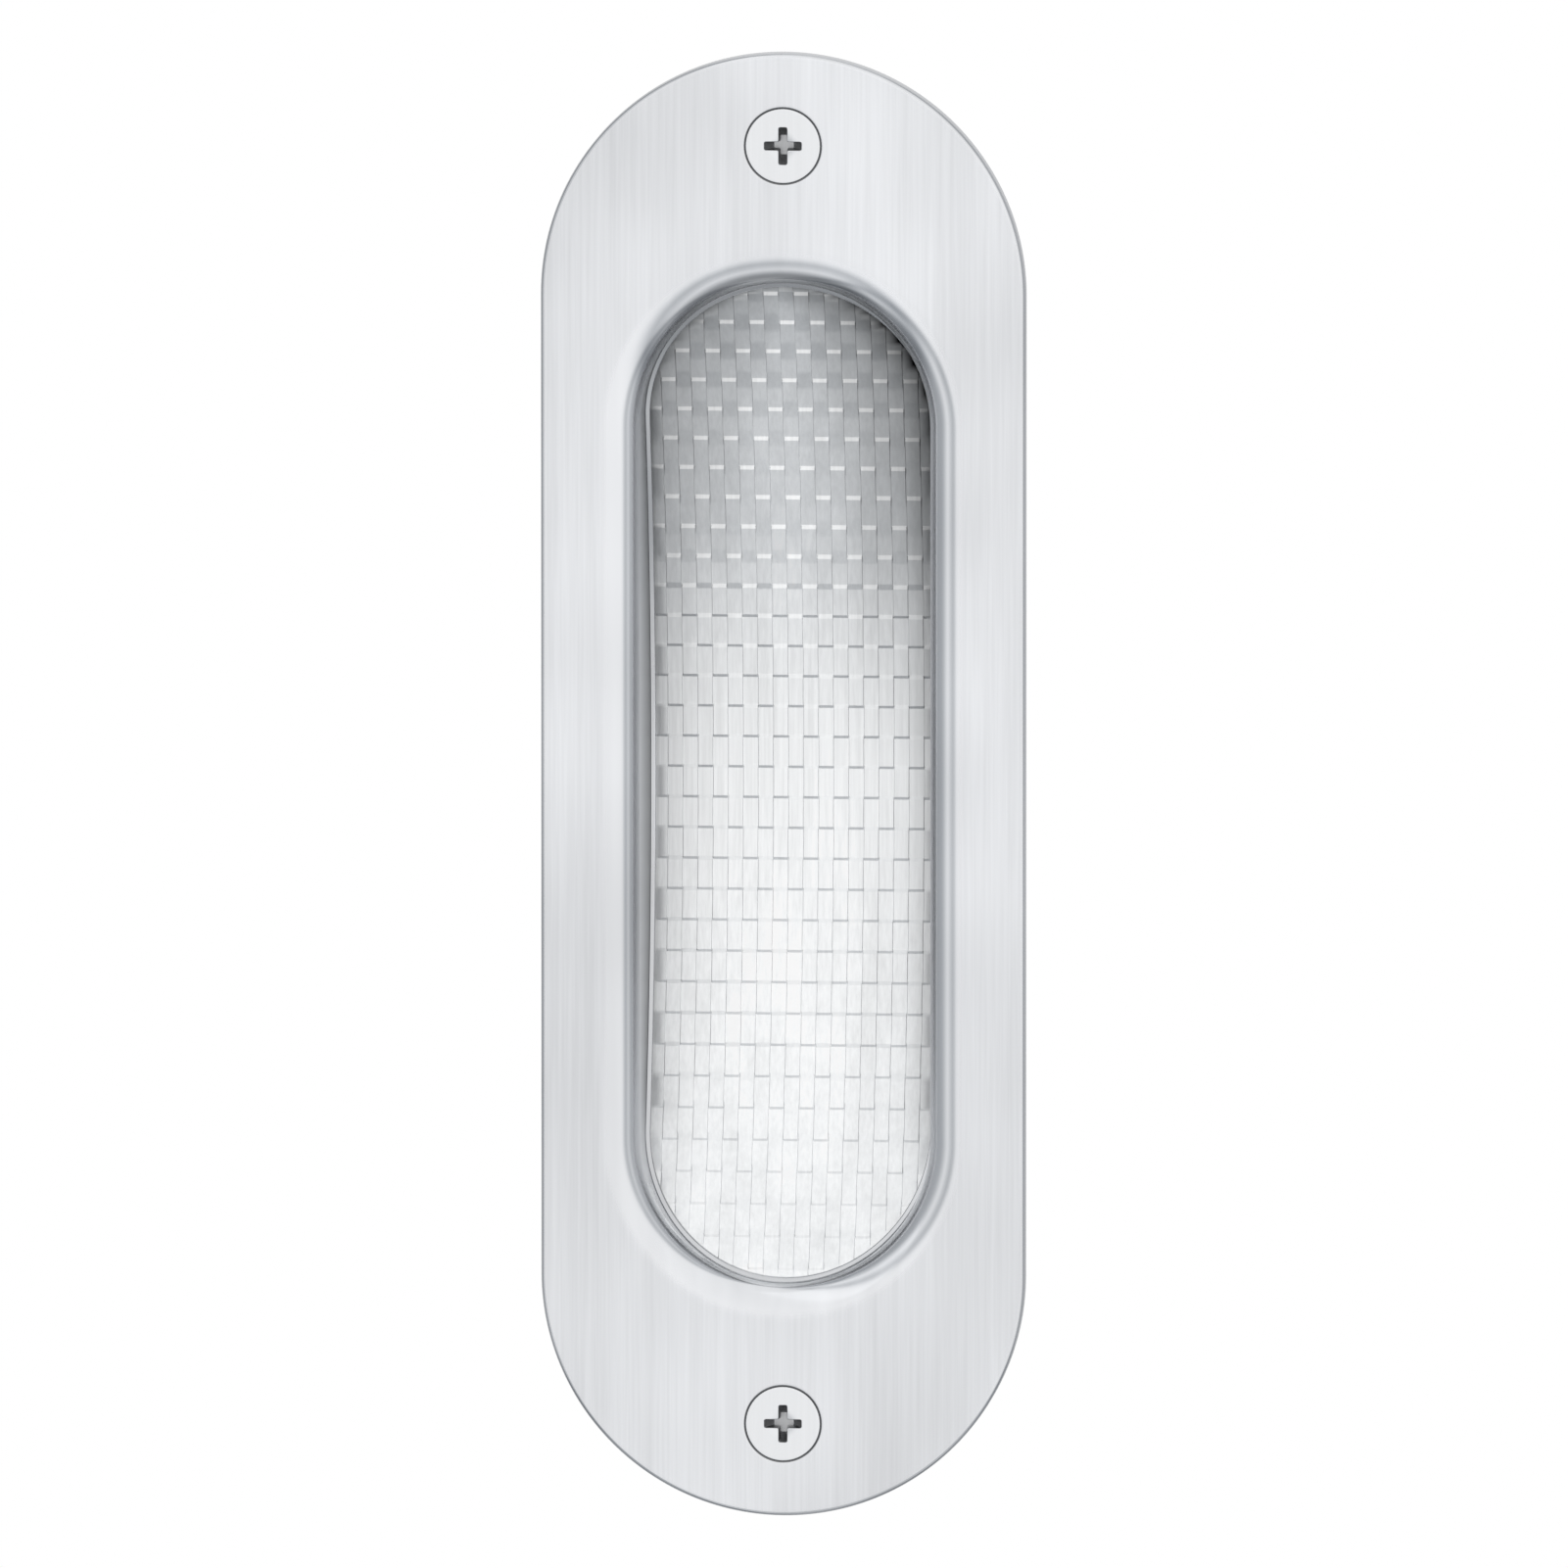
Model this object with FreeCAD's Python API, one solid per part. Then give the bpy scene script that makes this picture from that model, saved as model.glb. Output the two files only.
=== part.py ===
import FreeCAD, Part
import math
import os

# Flush pull for a pocket door, in millimetres.
# X runs across the plate, Z up its length and +Y into the door.
# The origin is the middle of the flange's back, the face that lies on the door.

# Flange
plate_length = 121.3
plate_width = 40.0
plate_thickness = 1.6
edge_break = 0.35

# Finger recess, measured between the collar's inner walls
recess_length = 83.0
recess_width = 24.0
recess_depth = 13.0     # front of the flange to the raised checkers, at mid-length
roll_reach = 3.2        # rolled rim: how far it spreads over the flange
roll_drop = 2.2         # and how deep it runs into the collar
collar_wall = 1.2
lip_width = 0.4         # how far the collar's lower edge is turned in
lip_thickness = 0.45

# Grip plate: a sheet bent to an arc about a crosswise axis, with a checkered relief
scoop_radius = 85.0     # to the tops of the raised checkers
grip_thickness = 1.2
checker_width = 1.25
checker_length = 2.53
checker_relief = 0.13
checker_slope = 0.24    # how far a raised checker's upper and lower flanks run in, from foot to top
checker_gap = 0.06      # between the feet of raised checkers that meet corner to corner
checker_margin = 0.1    # from the lip to the relief
checker_root = 0.02     # sunk into the sheet, so that relief and sheet are one body
least_checker = 0.35    # part of a checker that must be left for the rim to keep it

# Countersunk wood screws
screw_inset = 7.65      # from the plate's end to the screw's axis
screw_length = 16.0
screw_shank = 3.0
screw_hole = 3.2
screw_point = 3.5
head_diameter = 6.15
head_land = 0.12        # straight edge of the head, and the ring that it leaves in the countersink
recess_span = 3.05      # cross recess, tip to tip
recess_arm = 0.68
recess_floor = 1.6      # tip to tip at the bottom
recess_deep = 1.25

# Derived planes and radii
front = -plate_thickness
base_radius = scoop_radius + checker_relief
axis_y = front + recess_depth - scoop_radius
straight = recess_length - recess_width
screw_spacing = plate_length - 2 * screw_inset
beyond = 5.0            # how far cutting tools run past what they cut
hair = 0.001            # tolerance for picking edges by their place
ellipse_pull = 0.5523   # handle of a cubic curve that follows a quarter ellipse, by its half axis
deepest = recess_depth + grip_thickness + checker_relief + beyond


def point(x, y, z=0.0):
    return FreeCAD.Vector(x, y, z)


def obround(length, width, y_from, y_to):
    """Prism with round ends, standing on the XZ plane."""
    side = width / 2
    end = (length - width) / 2
    right = Part.LineSegment(point(side, y_from, -end), point(side, y_from, end))
    top = Part.Arc(point(side, y_from, end), point(0, y_from, end + side), point(-side, y_from, end))
    left = Part.LineSegment(point(-side, y_from, end), point(-side, y_from, -end))
    low = Part.Arc(point(-side, y_from, -end), point(0, y_from, -end - side), point(side, y_from, -end))
    wire = Part.Wire([curve.toShape() for curve in (right, top, left, low)])
    return Part.Face(wire).extrude(point(0, y_to - y_from))


def flared_obround(width, reach, drop, y_mouth, y_end):
    """Prism along the recess that opens in a quarter ellipse at its mouth.

    The half profile is drawn once: it is carried along the straight sides and turned round both ends.
    """
    side = width / 2
    roll = Part.BezierCurve()
    roll.setPoles([
        point(side + reach, y_mouth),
        point(side + reach - ellipse_pull * reach, y_mouth),
        point(side, y_mouth + drop - ellipse_pull * drop),
        point(side, y_mouth + drop),
    ])
    edges = [
        Part.LineSegment(point(0, y_mouth), point(side + reach, y_mouth)).toShape(),
        roll.toShape(),
        Part.LineSegment(point(side, y_mouth + drop), point(side, y_end)).toShape(),
        Part.LineSegment(point(side, y_end), point(0, y_end)).toShape(),
        Part.LineSegment(point(0, y_end), point(0, y_mouth)).toShape(),
    ]
    half = Part.Wire(edges).translated(point(0, 0, -straight / 2))
    right = Part.makeLoft([half, half.translated(point(0, 0, straight))], True, True)
    left = right.mirror(point(0, 0), point(1, 0))
    low = Part.Face(half).revolve(point(0, 0, -straight / 2), point(0, 1), 180)
    high = low.mirror(point(0, 0), point(0, 0, 1))
    return right.fuse([left, low, high]).removeSplitter()


def collar_outline():
    """Length and width over the collar's outer walls, which the grip plate shares."""
    return recess_length + 2 * collar_wall, recess_width + 2 * collar_wall


def scoop(radius):
    """Everything in front of the grip's arc at the given radius."""
    width = plate_width + 2 * beyond
    return Part.makeCylinder(radius, width, point(-width / 2, axis_y), point(1, 0))


def screw_places():
    return [point(0, 0, side * screw_spacing / 2) for side in (-1, 1)]


def turned(profile):
    """Solid turned about the Y axis from a half profile of (radius, y) corners."""
    corners = [point(radius, y) for radius, y in profile]
    face = Part.Face(Part.makePolygon(corners + corners[:1]))
    return face.revolve(point(0, 0), point(0, 1), 360)


def countersink():
    mouth = head_diameter / 2 + head_land
    hole = screw_hole / 2
    return turned([
        (0, front - beyond),
        (mouth + beyond, front - beyond),
        (hole, front + mouth - hole),
        (hole, beyond),
        (0, beyond),
    ])


def make_face_plate():
    flange = obround(plate_length, plate_width, front, 0)
    rim = [edge for edge in flange.Edges if edge.BoundBox.YMax < front + hair]
    flange = flange.makeChamfer(edge_break, rim)
    collar = obround(*collar_outline(), front + edge_break, deepest).common(scoop(base_radius))
    cavity = flared_obround(recess_width, roll_reach, roll_drop, front, deepest)
    cavity = cavity.common(scoop(base_radius - lip_thickness))
    window = obround(
        recess_length - 2 * lip_width, recess_width - 2 * lip_width, front - beyond, deepest
    )
    body = flange.fuse(collar)
    body = body.cut([cavity, window])
    for place in screw_places():
        body = body.cut(countersink().translated(place))
    return body.removeSplitter()


def raised_checker(column, row):
    """One flat-topped checker, tilted to stand square on the arc."""
    tilt = math.asin((row + 0.5) * checker_length / scoop_radius)
    half_width = (checker_width - checker_gap) / 2
    half_length = (checker_length / math.cos(tilt) - checker_gap) / 2
    spread = checker_slope * checker_root / checker_relief
    checker = Part.makeWedge(
        -half_width, scoop_radius, checker_slope - half_length, -half_length - spread, -half_width,
        half_width, base_radius + checker_root, half_length - checker_slope, half_length + spread, half_width,
    )
    checker.translate(point(column * checker_width, 0))
    checker.rotate(point(0, 0), point(1, 0), math.degrees(tilt))
    checker.translate(point(0, axis_y))
    return checker


def checkers():
    """Raised checkers, alternating like a chessboard, trimmed to the lip's window."""
    inset = 2 * (lip_width + checker_margin)
    window = obround(recess_length - inset, recess_width - inset, 0, deepest)
    columns = math.ceil(recess_width / 2 / checker_width)
    rows = math.ceil(recess_length / 2 / checker_length)
    kept = []
    for row in range(-rows, rows):
        for column in range(-columns, columns + 1):
            if (row + column) % 2:
                continue
            whole = raised_checker(column, row)
            trimmed = whole.common(window)
            if trimmed.Volume > least_checker * whole.Volume:
                kept.append(trimmed)
    return kept


def make_grip_plate():
    outline = obround(*collar_outline(), 0, deepest)
    sheet = outline.common(scoop(base_radius + grip_thickness)).cut(scoop(base_radius))
    return sheet.fuse(checkers())


def cross_recess():
    """Two crossed wings that narrow with depth to a flat floor."""
    slope = (recess_span - recess_floor) / 2 / recess_deep
    top = recess_span / 2 + slope * beyond
    wing = Part.Face(Part.makePolygon([
        point(-top, front - beyond),
        point(top, front - beyond),
        point(recess_floor / 2, front + recess_deep),
        point(-recess_floor / 2, front + recess_deep),
        point(-top, front - beyond),
    ]))
    wing.translate(point(0, 0, -recess_arm / 2))
    across = wing.extrude(point(0, 0, recess_arm))
    along = across.copy()
    along.rotate(point(0, 0), point(0, 1), 90)
    return across.fuse(along)


def make_screw():
    head = head_diameter / 2
    shank = screw_shank / 2
    tip = front + screw_length
    screw = turned([
        (0, front),
        (head, front),
        (head, front + head_land),
        (shank, front + head_land + head - shank),
        (shank, tip - screw_point),
        (0, tip),
    ])
    return screw.cut(cross_recess())


def make_fixing_screws():
    return Part.makeCompound([make_screw().translated(place) for place in screw_places()])


os.makedirs("parts", exist_ok=True)
make_face_plate().exportStep("parts/face_plate.step")
make_grip_plate().exportStep("parts/grip_plate.step")
make_fixing_screws().exportStep("parts/fixing_screws.step")
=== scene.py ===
# %% [markdown]
# # A flush pull for a pocket door
# The pull is three pieces of satin steel: a flat face plate with a rolled opening, a scooped and checkered
# grip plate behind that opening, and two countersunk screws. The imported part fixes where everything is.
# This lesson gives each piece a mesh that is fine enough for close views, a brushed finish, and a light
# tent like the one that catalogue pictures are taken in.

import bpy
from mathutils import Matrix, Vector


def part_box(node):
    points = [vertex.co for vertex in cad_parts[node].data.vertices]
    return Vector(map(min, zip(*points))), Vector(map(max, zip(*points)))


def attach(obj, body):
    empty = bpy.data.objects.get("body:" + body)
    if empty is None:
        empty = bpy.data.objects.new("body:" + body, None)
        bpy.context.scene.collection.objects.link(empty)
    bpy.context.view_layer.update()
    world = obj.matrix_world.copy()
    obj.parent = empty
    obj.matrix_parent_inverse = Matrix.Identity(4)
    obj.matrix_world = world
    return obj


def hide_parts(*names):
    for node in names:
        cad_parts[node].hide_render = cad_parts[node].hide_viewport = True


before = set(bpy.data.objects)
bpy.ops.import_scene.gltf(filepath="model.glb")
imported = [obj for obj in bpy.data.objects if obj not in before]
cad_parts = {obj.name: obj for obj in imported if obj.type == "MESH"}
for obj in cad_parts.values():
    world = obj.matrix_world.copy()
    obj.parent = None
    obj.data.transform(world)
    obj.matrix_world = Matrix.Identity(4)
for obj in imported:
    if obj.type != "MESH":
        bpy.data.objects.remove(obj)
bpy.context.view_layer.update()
print("pieces:", sorted(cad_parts))

# %% [markdown]
# ## Sizes
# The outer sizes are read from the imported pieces, so the meshes can't drift away from them. Only what a box
# doesn't tell is written here: wall thicknesses, the reach and depth of the rolled rim, and the grip's arc.
# Blender works in metres, so lengths are written in millimetres times MM.

# %% Sizes
import math

import bmesh
import bpy
from mathutils import Vector

MM = 0.001
plate_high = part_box("face_plate")[1]
grip_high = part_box("grip_plate")[1]

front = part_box("face_plate")[0][1]
plate_side = plate_high[0]                      # from the middle to a straight side,
plate_straight = plate_high[2] - plate_side     # and up to where the round end starts
collar_wall = 1.2 * MM
roll_reach = 3.2 * MM
roll_drop = 2.2 * MM
lip_width = 0.4 * MM
lip_thickness = 0.45 * MM
recess_side = grip_high[0] - collar_wall
recess_straight = grip_high[2] - grip_high[0]

scoop_radius = 85.0 * MM
relief = 0.13 * MM
grip_thickness = 1.2 * MM
base_radius = scoop_radius + relief
axis_y = grip_high[1] - grip_thickness - base_radius
print(f"recess {2 * recess_side / MM:.1f} mm wide, axis of the scoop {-axis_y / MM:.1f} mm before the door")

# %% [markdown]
# ## Paths
# The plate's edge, the rolled opening and the countersinks are the same idea: one section carried round a
# closed path. A path is a list of stations, each with its place and the direction that leads outward there.
# The grip is bent to an arc, so one more helper gives the depth of such an arc at a height.

# %% Paths and the arc
def obround_path(side, straight, along, around):
    """Stations round an obround, as x, z and the outward direction there."""
    path = []
    for end in (1, -1):
        for i in range(along):
            path.append((end * side, end * straight * (2 * i / along - 1), end, 0.0))
        for i in range(around):
            turn = math.pi * (i / around + (end < 0))
            path.append((side * math.cos(turn), end * straight + side * math.sin(turn),
                         math.cos(turn), math.sin(turn)))
    return path


def circle_path(radius, count, middle_z):
    turns = [2 * math.pi * i / count for i in range(count)]
    return [(radius * math.cos(t), middle_z + radius * math.sin(t), math.cos(t), math.sin(t)) for t in turns]


def scoop_y(radius, z):
    """Depth of an arc about the grip's axis, at a height z."""
    return axis_y + math.sqrt(radius * radius - z * z)


print(f"scoop {(scoop_y(scoop_radius, 0.0) - front) / MM:.1f} mm deep at mid-height")

# %% [markdown]
# ## Rings and skins
# A ring is one closed loop of points beside a path, at some offset and depth, and a skin joins each ring to
# the next with quads. A curve with a bevel would be quicker to set up, but it can't follow the scoop, where
# the depth changes along the way. Each point also carries its painted shade: a number from 0 to 1 that says
# how much its colour is darkened for the shade that falls there. The finish reads that number later.

# %% Rings and skins
def new_sheet():
    """Empty bmesh whose points carry a painted shade."""
    bm = bmesh.new()
    bm.verts.layers.float.new("residue")
    return bm


def value_at(value, *place):
    """A number as it is, or what a function gives for a place."""
    return value(*place) if callable(value) else value


def ring(bm, path, offset, depth, residue=0.0):
    """Closed loop of points beside a path.

    Offset and painted shade may be functions of the path's height, depth also of the ring's own height.
    """
    layer = bm.verts.layers.float["residue"]
    loop = []
    for x, z, out_x, out_z in path:
        shift = value_at(offset, z)
        ring_z = z + shift * out_z
        point = bm.verts.new((x + shift * out_x, value_at(depth, z, ring_z), ring_z))
        point[layer] = value_at(residue, z)
        loop.append(point)
    return loop


def skin(bm, rings):
    """Quads between each ring and the next."""
    for low, high in zip(rings, rings[1:]):
        for i in range(len(low)):
            j = (i + 1) % len(low)
            bm.faces.new((low[i], low[j], high[j], high[i]))


def fill_flat(bm, loops):
    """Fill a flat face that has the first loop as its outline and the others as holes."""
    edges = []
    for loop in loops:
        for a, b in zip(loop, loop[1:] + loop[:1]):
            edges.append(bm.edges.get((a, b)) or bm.edges.new((a, b)))
    bmesh.ops.triangle_fill(bm, use_beauty=True, edges=edges)


# %% [markdown]
# ## From mesh to piece
# A finished mesh becomes an object that rides on the part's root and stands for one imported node. Its faces
# are shaded smooth, except across edges that bend by more than an angle, which stay crisp.

# %% Finish a piece
def finish_piece(bm, name, node, sharp_degrees):
    bmesh.ops.recalc_face_normals(bm, faces=bm.faces)
    for face in bm.faces:
        face.smooth = True
    mesh = bpy.data.meshes.new(name)
    bm.to_mesh(mesh)
    bm.free()
    mesh.set_sharp_from_angle(angle=math.radians(sharp_degrees))
    piece = bpy.data.objects.new(name, mesh)
    bpy.context.scene.collection.objects.link(piece)
    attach(piece, "root")
    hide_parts(node)
    print(f"{name}: {len(mesh.vertices)} points, {len(mesh.polygons)} faces")
    return piece


# %% [markdown]
# ## Face plate: the section of its opening
# The real plate is one pressed sheet. Its middle is drawn back into a collar, so the rim of the opening is
# a smooth roll, and the collar's far edge is turned in as a lip that frames the grip. At both ends the
# scoop comes up to the flange. Less and less wall is left there, so the roll gets shallower with it.

# %% Section of the opening
roll_room = 0.9             # share of the depth down to the lip that the roll may take
roll_blend = 8              # the higher, the later and the more sharply the roll runs out
foot_radius = 0.1 * MM      # corner between the wall and the lip
foot_room = 0.45            # share of the wall's height that this corner may take


def lip_y(z):
    return scoop_y(base_radius - lip_thickness, z)


def base_y(z):
    return scoop_y(base_radius, z)


def roll_depth(z):
    """Depth of the roll at a height of the wall: its full drop, or less where there is less room."""
    room = roll_room * (lip_y(z) - front)
    return (roll_drop ** -roll_blend + room ** -roll_blend) ** (-1 / roll_blend)


def wall_top(z):
    return front + roll_depth(z)


def foot(z):
    return min(foot_radius, foot_room * (lip_y(z) - wall_top(z)))


recess_top = recess_straight + recess_side
print(f"roll {roll_depth(0.0) / MM:.2f} mm deep at mid-height, "
      f"{roll_depth(recess_top) / MM:.2f} mm at the ends")

# %% [markdown]
# ## Face plate: painted shade in the opening
# Shade falls on the foot of the walls and in the hollow under the upper end. It is painted there as a darker
# colour. The flange, the outer part of the roll and the lower end, which faces up and catches the light, get
# none.
# Painting this by hand would work too, but functions of the height give the same soft change on every ring.

# %% Painted shade in the opening
wall_shade = (0.08, 0.8)          # painted shade at the top of the walls and at their foot
lip_face_shade = (0.3, 0.4)       # painted shade on the lip's face, toward the lower and the upper end
lip_corner_shade = 0.4            # more painted shade on its inner edge, where the walls turn into the lower end
hood_shade = 0.5                  # painted shade under the roll's upper end
hood_shade_from = math.radians(33)      # how far round the roll the painted shade starts there,
hood_fade = math.radians(20)        # and over what angle it grows to full
roll_shade_from = math.radians(66)      # how far round the roll the painted shade starts elsewhere
shade_and_dull_fade = 0.4 * recess_side
shade_and_dull_low = -recess_straight - shade_and_dull_fade     # below this height the walls get no painted shade, and those that face up get no added roughness,
shade_and_dull_high = -recess_straight + shade_and_dull_fade    # above this one the walls get full painted shade and the added roughness


def smooth(share):
    """Soft step from 0 to 1."""
    share = min(max(share, 0.0), 1.0)
    return share * share * (3 - 2 * share)


# Share of the painted shade that a height gets: none on the lower end, which faces up, and all of it above.
def shade_by_height(z):
    return smooth((z - shade_and_dull_low) / (shade_and_dull_high - shade_and_dull_low))


def hooded(z):
    """How far a height lies under the rim's upper end."""
    return smooth((z - recess_straight) / recess_side)


def roll_shade(z, turn):
    """Painted shade on the roll: toward the walls, and earlier under its upper end."""
    to_wall = wall_shade[0] * smooth((turn - roll_shade_from) / (math.pi / 2 - roll_shade_from))
    to_hood = hood_shade * hooded(z) * smooth((turn - hood_shade_from) / hood_fade)
    return shade_by_height(z) * max(to_wall, to_hood)


def lip_shade(z):
    """Painted shade on the lip's face: none at mid-height."""
    lower, upper = lip_face_shade
    return (upper if z > 0 else lower) * smooth(2 * abs(z) / recess_straight)


# Painted shade on the lip's inner edge: as on its face, and more where the walls turn into the lower end.
def lip_edge_shade(z):
    lower_end = smooth(1 + (z + recess_straight) / recess_side)
    return lip_shade(z) + 4 * lip_corner_shade * lower_end * (1 - lower_end)


print(f"residue at the foot of the upper end {wall_shade[1] * shade_by_height(recess_top):.2f}, "
      f"of the lower end {wall_shade[1] * shade_by_height(-recess_top):.2f}")

# %% [markdown]
# ## Face plate: the plate's edge
# The plate is blanked from sheet and its front edge is eased by the belt. Six short steps make that
# rounding. A flat face beside a curve gets one more ring close to the curve. It holds the flat part's
# shading flat, which satin metal needs, because it shows every flaw in its curvature.

# %% The plate's edge
plate_stations = (48, 112)      # along a side and round an end
edge_round = 0.35 * MM
edge_steps = 6
back_break = 0.1 * MM
cut_edge_shade = 0.35                  # painted shade on the cut edge, for the darker places of the tent that it mirrors
support = 0.15 * MM             # from a curve to the ring that supports it


def quarter(steps):
    """Angles of a quarter turn."""
    return [math.pi / 2 * i / steps for i in range(steps + 1)]


def plate_edge(bm):
    """Rings round the outline, from the flat back to the flat front."""
    path = obround_path(plate_side, plate_straight, *plate_stations)
    rings = [ring(bm, path, -back_break, 0.0), ring(bm, path, 0.0, -back_break, cut_edge_shade)]
    for turn in quarter(edge_steps):
        rings.append(ring(bm, path, edge_round * (math.cos(turn) - 1),
                          front + edge_round * (1 - math.sin(turn)), cut_edge_shade * math.cos(turn)))
    rings.append(ring(bm, path, -edge_round - support, front))
    return rings


# %% [markdown]
# ## Face plate: the rolled opening
# Four kinds of rings follow the section inward: over the roll, down the wall, round the corner at its foot
# and over the lip's edge. The roll is a quarter of an ellipse with many steps, because a reflection runs
# along it. Each kind has its own function, which says where such a ring lies and how much painted shade it
# has.

# %% Rings of the opening
lip_round = 0.07 * MM


def roll_ring(bm, path, turn):
    """Ring on the roll, from the flat (turn 0) to the wall (a quarter turn)."""
    return ring(bm, path, roll_reach * (1 - math.sin(turn)),
                lambda z, _: front + roll_depth(z) * (1 - math.cos(turn)),
                lambda z: roll_shade(z, turn))


def wall_ring(bm, path, share):
    """Ring on the wall, at a share of its height, with painted shade that grows toward the foot."""
    top, low = wall_shade
    return ring(bm, path, 0.0,
                lambda z, _: wall_top(z) + share * (lip_y(z) - foot(z) - wall_top(z)),
                lambda z: shade_by_height(z) * (top + share * (low - top)))


def foot_ring(bm, path, turn):
    """Ring in the corner between the wall and the lip, with the painted shade of the wall's foot or of the
    lip, whichever is more.
    """
    return ring(bm, path, lambda z: foot(z) * (math.cos(turn) - 1),
                lambda z, ring_z: lip_y(ring_z) - foot(z) * (1 - math.sin(turn)),
                lambda z: max(shade_by_height(z) * wall_shade[1] * math.cos(turn), lip_shade(z)))


def lip_ring(bm, path, turn):
    """Ring on the rounded inner edge of the lip."""
    return ring(bm, path, lip_round * (1 - math.sin(turn)) - lip_width,
                lambda _, ring_z: lip_y(ring_z) + lip_round * (1 - math.cos(turn)),
                lip_edge_shade if turn else lip_shade)


# %% [markdown]
# ## Face plate: the opening from front to back
# The rings are lined up: over the roll, down the wall, over the lip, and back up the collar's outside to
# the flat back, where a small bend joins the two.

# %% The opening from front to back
recess_stations = (56, 84)      # along a side and round an end
roll_steps = 32
wall_shares = (0.2, 0.4, 0.6, 0.8)
foot_steps = 4
lip_steps = 3
bend_radius = 0.35 * MM
bend_steps = 4


def opening(bm):
    path = obround_path(recess_side, recess_straight, *recess_stations)
    rings = [ring(bm, path, roll_reach + support, front)]
    rings += [roll_ring(bm, path, turn) for turn in quarter(roll_steps)]
    rings += [wall_ring(bm, path, share) for share in wall_shares]
    rings += [foot_ring(bm, path, turn) for turn in quarter(foot_steps)]
    rings += [lip_ring(bm, path, turn) for turn in quarter(lip_steps)]
    rings.append(ring(bm, path, -lip_width, lambda _, ring_z: base_y(ring_z), lip_edge_shade))
    rings.append(ring(bm, path, collar_wall, lambda _, ring_z: base_y(ring_z)))
    for turn in quarter(bend_steps):
        rings.append(ring(bm, path, collar_wall + bend_radius * (1 - math.cos(turn)),
                          bend_radius * (1 - math.sin(turn))))
    rings.append(ring(bm, path, collar_wall + bend_radius + support, 0.0))
    return rings


# %% [markdown]
# ## Face plate: countersinks, and all of it together
# A countersink is drilled and then deburred, which leaves a fine bright ring at its mouth. Below that it
# stays as cut, and its colour gets full painted shade, for the shade in the gap round the screw's head. The
# flat front and back are filled last, between the outline and the three openings.

# %% Countersinks and the whole face plate
head_radius = 3.075 * MM
head_land = 0.12 * MM
screw_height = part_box("fixing_screws")[1][2] - head_radius
screw_hole = 1.6 * MM
sink_stations = 72
mouth_round = 0.05 * MM
mouth_knee = 0.3 * mouth_round      # middle of the deburred edge


def countersink(bm, middle_z):
    """Rings from the flat front, down the countersink and the hole, to the flat back."""
    mouth = head_radius + head_land
    path = circle_path(screw_hole, sink_stations, middle_z)
    section = [
        (mouth + mouth_round + support, front),
        (mouth + mouth_round, front),
        (mouth + mouth_knee, front + mouth_knee),
        (mouth - mouth_round, front + mouth_round),
        (screw_hole, front + mouth - screw_hole),
        (screw_hole, 0.0),
        (screw_hole + support, 0.0),
    ]
    # From the middle of the rounded mouth down the cone, the countersink gets full painted shade; the flat
    # front and back get none.
    return [ring(bm, path, radius - screw_hole, y, residue=float(front < y < 0)) for radius, y in section]


bm = new_sheet()
outline = plate_edge(bm)
recess = opening(bm)
sinks = [countersink(bm, side * screw_height) for side in (-1, 1)]
for rings in (outline, recess, *sinks):
    skin(bm, rings)
fill_flat(bm, [outline[-1], recess[0], sinks[0][0], sinks[1][0]])
fill_flat(bm, [outline[0], recess[-1], sinks[0][-1], sinks[1][-1]])
face_plate = finish_piece(bm, "face_plate_pressed", "face_plate", sharp_degrees=38)

# %% [markdown]
# ## Grip plate: the checkers
# The checkers are coined into the sheet: every second cell stands proud, with sloped flanks that catch
# the light as short dashes. A bump map would look flat from the side, so the relief is real. Toward the
# ends the flanks that face the middle lie flatter, and show less.

# %% Height of the checkers
checker_width = 1.25 * MM
checker_length = 2.53 * MM
left_slope = 0.055 * MM         # how far each flank runs, from foot to top
right_slope = 0.035 * MM
lower_slope = 0.24 * MM
upper_slope = 0.32 * MM
lip_slope = 0.24 * MM
checker_margin = 0.1 * MM       # from the lip to the relief
astride = 0.5                   # share of an upper or lower flank that lies past the line between two rows
easing = 8 * MM                 # over this height the flanks that face the middle come to lie flatter:
lower_eases = 13 * MM           # the lower ones from here up,
lower_easing = 5.2              # until their run is longer by this many times,
upper_eases = 22 * MM           # and the upper ones from here down
upper_easing = 3.0


def outside(x, z, side):
    """Distance past an obround of the recess's straight length, negative inside it."""
    return math.hypot(x, max(abs(z) - recess_straight, 0.0)) - side


def lower_run(z):
    return lower_slope * (1 + lower_easing * smooth((z - lower_eases) / easing))


def upper_run(z):
    return upper_slope * (1 + upper_easing * smooth((-z - upper_eases) / easing))


def checker_height(x, z):
    """How far the surface stands proud at a point of the plan."""
    column = math.floor(x / checker_width + 0.5)
    row = math.floor(z / checker_length)
    from_left = x - (column - 0.5) * checker_width
    rise = 0.0
    for near in (row - 1, row, row + 1):
        if (column + near) % 2 == 0:
            low, high = near * checker_length, (near + 1) * checker_length
            rise = max(rise, min((z - low) / lower_run(low), (high - z) / upper_run(high)) + astride)
    from_lip = -outside(x, z, recess_side - lip_width - checker_margin)
    rise = min(rise, from_left / left_slope, (checker_width - from_left) / right_slope, from_lip / lip_slope)
    return relief * min(max(rise, 0.0), 1.0)


middle_row = checker_length / 2
print(f"raised cells stand {checker_height(0.0, middle_row) / MM:.2f} mm proud, "
      f"the cells between them {checker_height(checker_width, middle_row) / MM:.2f} mm")

# %% [markdown]
# ## Grip plate: grid lines
# The sheet is a grid of quads. Lines are needed only where a flank starts and ends, with one or two more
# close by, which hold the flank's shading to the flank, so that it doesn't bleed into the flat cells.

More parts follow.
